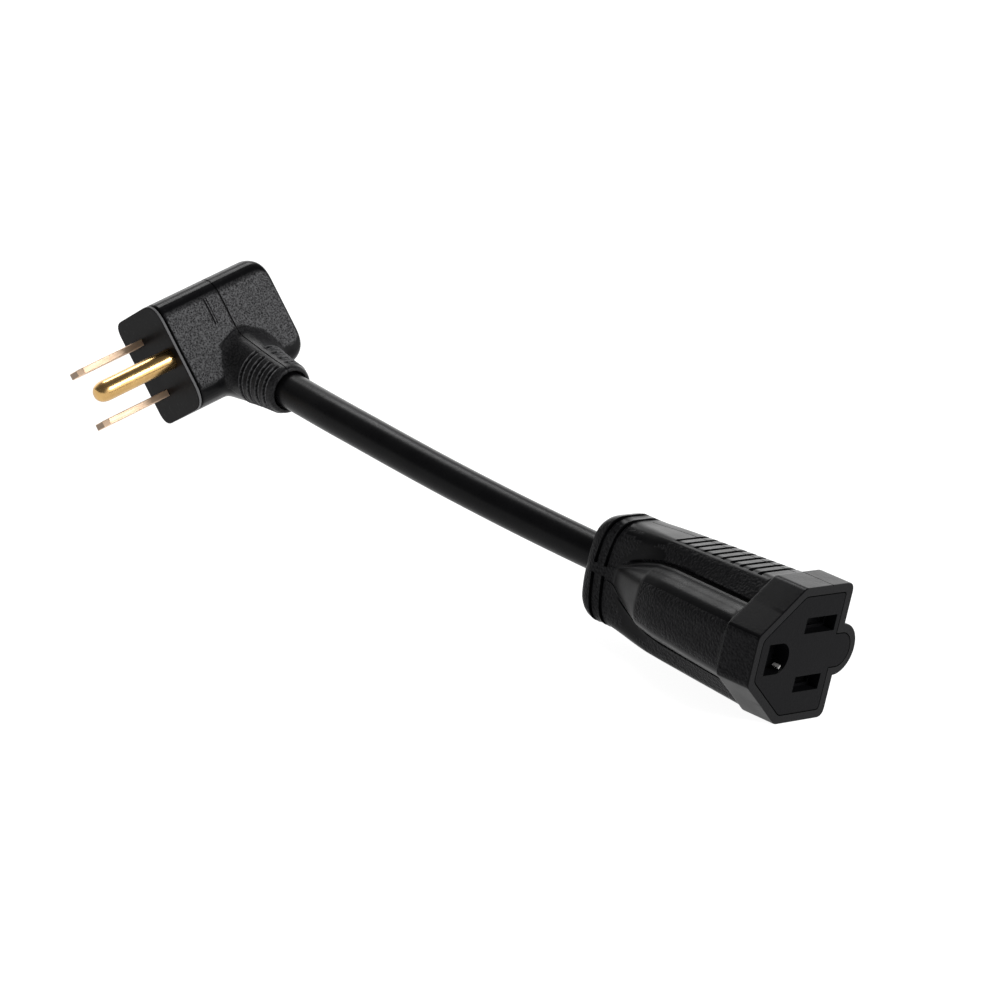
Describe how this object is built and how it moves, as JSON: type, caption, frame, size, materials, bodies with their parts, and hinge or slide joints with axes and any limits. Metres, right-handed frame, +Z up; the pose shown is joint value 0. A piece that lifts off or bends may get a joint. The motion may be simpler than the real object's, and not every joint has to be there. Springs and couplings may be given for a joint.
{
  "type": "power adapter dogbone",
  "caption": "Short dogbone power adapter: right-angle grounded plug with flat blades and a round pin, short round black cord, and a moulded grounded connector.",
  "frame": {"origin": "centre of the bounding box's bottom, on the surface that the connector's flange lies on", "axes": "+X out of the connector's socket face, +Y from the ground hole towards the blades, +Z up, from the hot side to the neutral side of the connector"},
  "size_m": [0.1994, 0.054, 0.0418],
  "materials": {
    "plug_pvc": "matte",
    "plug_face": "satin",
    "pin_brass": "satin",
    "jacket_pvc": "satin",
    "filler_fibre": "matte",
    "core_white": "satin",
    "core_black": "satin",
    "core_green": "satin",
    "copper": "satin",
    "connector_pvc": "matte",
    "socket_face": "satin",
    "rear_cover": "satin",
    "contact_brass": "satin"
  },
  "bodies": {
    "root": {"plug_overmould": "plug_pvc", "plug_face_block": "plug_face", "blade_neutral": "pin_brass", "blade_hot": "pin_brass", "ground_pin": "pin_brass", "cord_jacket": "jacket_pvc", "filler_1": "filler_fibre", "filler_2": "filler_fibre", "filler_3": "filler_fibre", "insulation_neutral": "core_white", "insulation_hot": "core_black", "insulation_ground": "core_green", "conductor_neutral": "copper", "conductor_hot": "copper", "conductor_ground": "copper", "connector_overmould": "connector_pvc", "connector_face_insert": "socket_face", "connector_rear_cover": "rear_cover", "contact_neutral": "contact_brass", "contact_hot": "contact_brass", "contact_ground": "contact_brass"}
  },
  "joints": []
}
